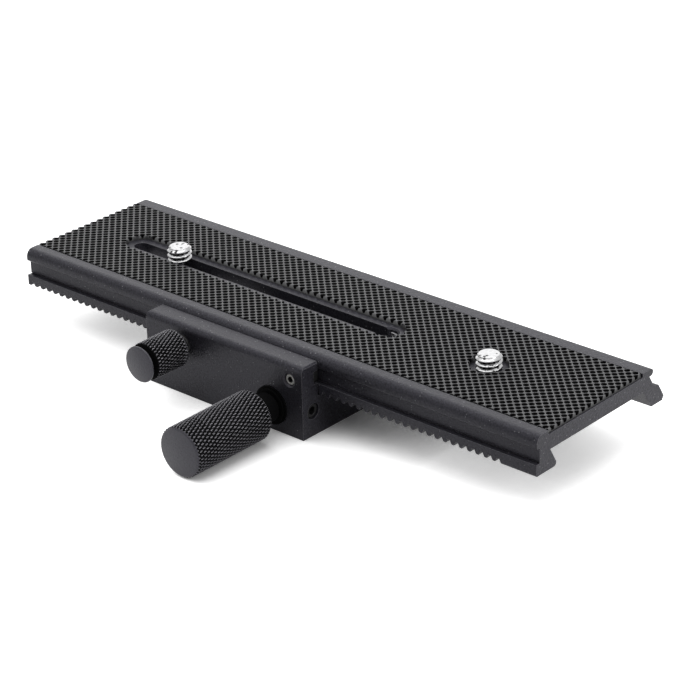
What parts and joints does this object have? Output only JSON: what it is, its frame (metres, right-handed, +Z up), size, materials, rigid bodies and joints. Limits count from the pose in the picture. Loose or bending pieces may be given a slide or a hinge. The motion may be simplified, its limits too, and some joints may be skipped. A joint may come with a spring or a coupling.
{
  "type": "macro focusing rail",
  "caption": "Rack-and-pinion focusing rail: a long slotted camera plate on a carriage block, with a knurled focus knob and a small lock knob.",
  "frame": {"origin": "mouth of the tripod thread in the carriage's base", "axes": "+X right along the rail, +Y away from the knobs, +Z up, out of the camera plate"},
  "size_m": [0.1655, 0.0899, 0.0227],
  "materials": {
    "black_anodised": "fine satin black anodising",
    "pad_rubber": "matt, crossed ridges",
    "bright_plate": "bright plated steel",
    "steel": "turned",
    "black_steel": "black oxide",
    "brass": "turned",
    "black_plastic": "moulded",
    "white_plastic": "moulded"
  },
  "bodies": {
    "carriage": {"carriage_body": "black_anodised", "gib_strip": "black_plastic", "gib_set_screw": "bright_plate", "tension_set_screw": "black_steel", "friction_plug": "white_plastic", "front_bush": "black_plastic", "rear_bush": "brass", "tripod_insert": "steel", "reducer_bush": "steel"},
    "rail": {"rail_plate": "black_anodised", "grip_pad": "pad_rubber", "stop_pin": "steel"},
    "focus": {"focus_knob": "black_anodised", "focus_knob_set_screw": "black_steel", "focus_thrust_washer": "black_plastic", "pinion_shaft": "steel", "pinion_gear": "brass"},
    "lock_end": {"lock_tip": "brass"},
    "lock": {"lock_knob": "black_anodised", "lock_screw": "steel"},
    "slot_washer": {"slot_screw_washer": "black_plastic"},
    "slot_screw": {"slot_camera_screw": "bright_plate"},
    "rear_screw": {"rear_camera_screw": "bright_plate", "rear_screw_washer": "black_plastic"}
  },
  "joints": [
    {"name": "rail_slide", "type": "slide", "parent": "carriage", "child": "rail", "axis": [1, 0, 0], "range_m": [-0.0605, 0.0435]},
    {"name": "focus_spin", "type": "hinge", "parent": "carriage", "child": "focus", "pos_m": [0.0158, 0, 0.00647], "axis": [0, 1, 0], "range_deg": [-870, 640]},
    {"name": "lock_travel", "type": "slide", "parent": "carriage", "child": "lock_end", "axis": [0, -1, 0], "range_m": [0, 0.0008]},
    {"name": "lock_spin", "type": "hinge", "parent": "lock_end", "child": "lock", "pos_m": [-0.0134, 0, 0.0137], "axis": [0, -1, 0], "range_deg": [0, 362]},
    {"name": "slot_travel", "type": "slide", "parent": "rail", "child": "slot_washer", "axis": [1, 0, 0], "range_m": [-0.0138, 0.0656]},
    {"name": "slot_screw_spin", "type": "hinge", "parent": "slot_washer", "child": "slot_screw", "pos_m": [-0.0414, 0, 0.02], "axis": [0, 0, 1], "range_deg": [-360, 360]},
    {"name": "rear_screw_spin", "type": "hinge", "parent": "rail", "child": "rear_screw", "pos_m": [0.0594, 0, 0.02], "axis": [0, 0, 1], "range_deg": [-360, 360]}
  ],
  "couplings": [
    {"joint": "focus_spin", "follows": "rail_slide", "rad_per_m": 242.42},
    {"joint": "lock_spin", "follows": "lock_travel", "rad_per_m": 7854}
  ]
}
